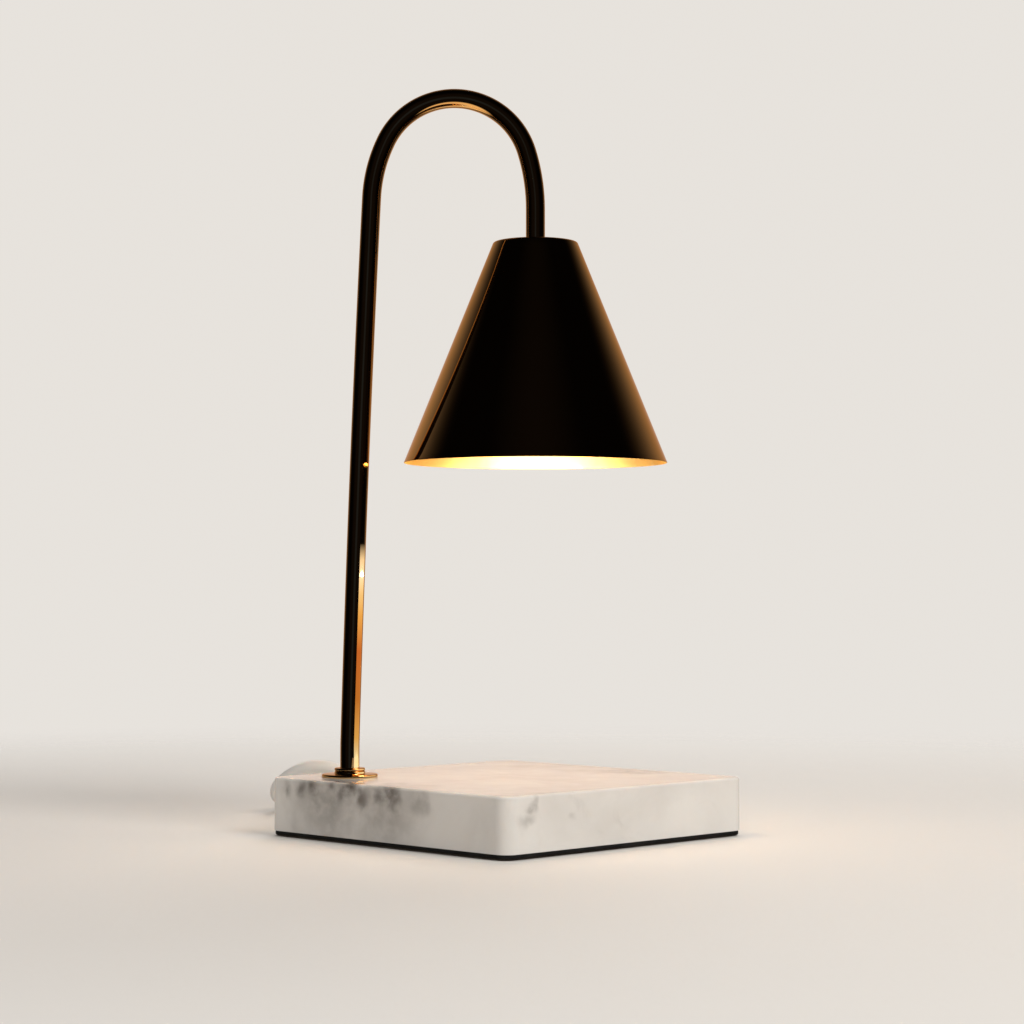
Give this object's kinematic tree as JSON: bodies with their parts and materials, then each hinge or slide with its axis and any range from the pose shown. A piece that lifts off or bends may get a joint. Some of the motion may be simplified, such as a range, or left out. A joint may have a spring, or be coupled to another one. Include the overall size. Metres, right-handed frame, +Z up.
{
  "type": "candle warmer lamp",
  "caption": "Table lamp that melts a jar candle from above: square marble base, swan-neck tube, cone shade, twist-lock reflector bulb, and a cord with inline dimmer and plug.",
  "frame": {"origin": "centre of the pad's underside, on the table", "axes": "+Z up, +X from the pole towards the shade, +Y away from the base's front corner"},
  "size_m": [0.212, 0.2795, 0.3115],
  "materials": {
    "marble": "polished white marble with soft grey-brown veins",
    "foam_pad": "matt black foam pad",
    "polished_gold": "polished gold plate, mirror bright",
    "steel_hardware": "zinc-plated steel",
    "holder_ceramic": "plain white ceramic",
    "bulb_ceramic": "plain white ceramic",
    "contact_brass": "plain brass",
    "reflector_metal": "bright facetted reflector",
    "clear_glass": "clear glass",
    "white_cord": "white vinyl",
    "white_plastic": "moulded white plastic, fine satin",
    "lead_insulation": "thin woven and silicone wire cover",
    "board": "green circuit board",
    "electronics": "moulded black"
  },
  "bodies": {
    "lamp": {"marble_base": "marble", "base_pad": "foam_pad", "gooseneck_tube": "polished_gold", "pole_flange": "polished_gold", "pole_collar": "polished_gold", "shade": "polished_gold", "pole_nipple": "steel_hardware", "pole_washer": "steel_hardware", "pole_lock_washer": "steel_hardware", "pole_nut": "steel_hardware", "holder_bracket": "steel_hardware", "shade_washer": "steel_hardware", "shade_nut": "steel_hardware", "shade_nipple": "steel_hardware", "bracket_screws": "steel_hardware", "clamp_screws": "steel_hardware", "dimmer_screws": "steel_hardware", "lamp_holder": "holder_ceramic", "holder_contacts": "contact_brass", "plug_blades": "contact_brass", "cord_inner_end": "white_cord", "dimmer_cord_ends": "white_cord", "cord_lamp_side": "white_cord", "cord_plug_side": "white_cord", "cord_plug_end": "white_cord", "cord_coil": "white_cord", "cord_clamp": "white_plastic", "cord_grommet": "white_plastic", "dimmer_case_bottom": "white_plastic", "dimmer_case_top": "white_plastic", "dimmer_sleeves": "white_plastic", "plug_body": "white_plastic", "coil_tie": "white_plastic", "live_lead": "lead_insulation", "neutral_lead": "lead_insulation", "cord_cores": "lead_insulation", "splice_sleeves": "lead_insulation", "dimmer_board": "board", "dimmer_pot": "electronics", "dimmer_triac": "electronics", "dimmer_capacitor": "electronics"},
    "bulb": {"bulb_base": "bulb_ceramic", "bulb_pins": "contact_brass", "bulb_reflector": "reflector_metal", "bulb_capsule": "clear_glass", "bulb_lens": "clear_glass"},
    "dimmer_control": {"dimmer_wheel": "white_plastic", "dimmer_spindle": "white_plastic"}
  },
  "joints": [
    {"name": "bulb_twist", "type": "hinge", "parent": "lamp", "child": "bulb", "pos_m": [0.0119, 0, 0.218], "axis": [0, 0, 1], "range_deg": [0, 30]},
    {"name": "dimmer_turn", "type": "hinge", "parent": "lamp", "child": "dimmer_control", "pos_m": [-0.0316, 0.15415, 0.007], "axis": [0, 0, 1], "range_deg": [0, 270]}
  ]
}
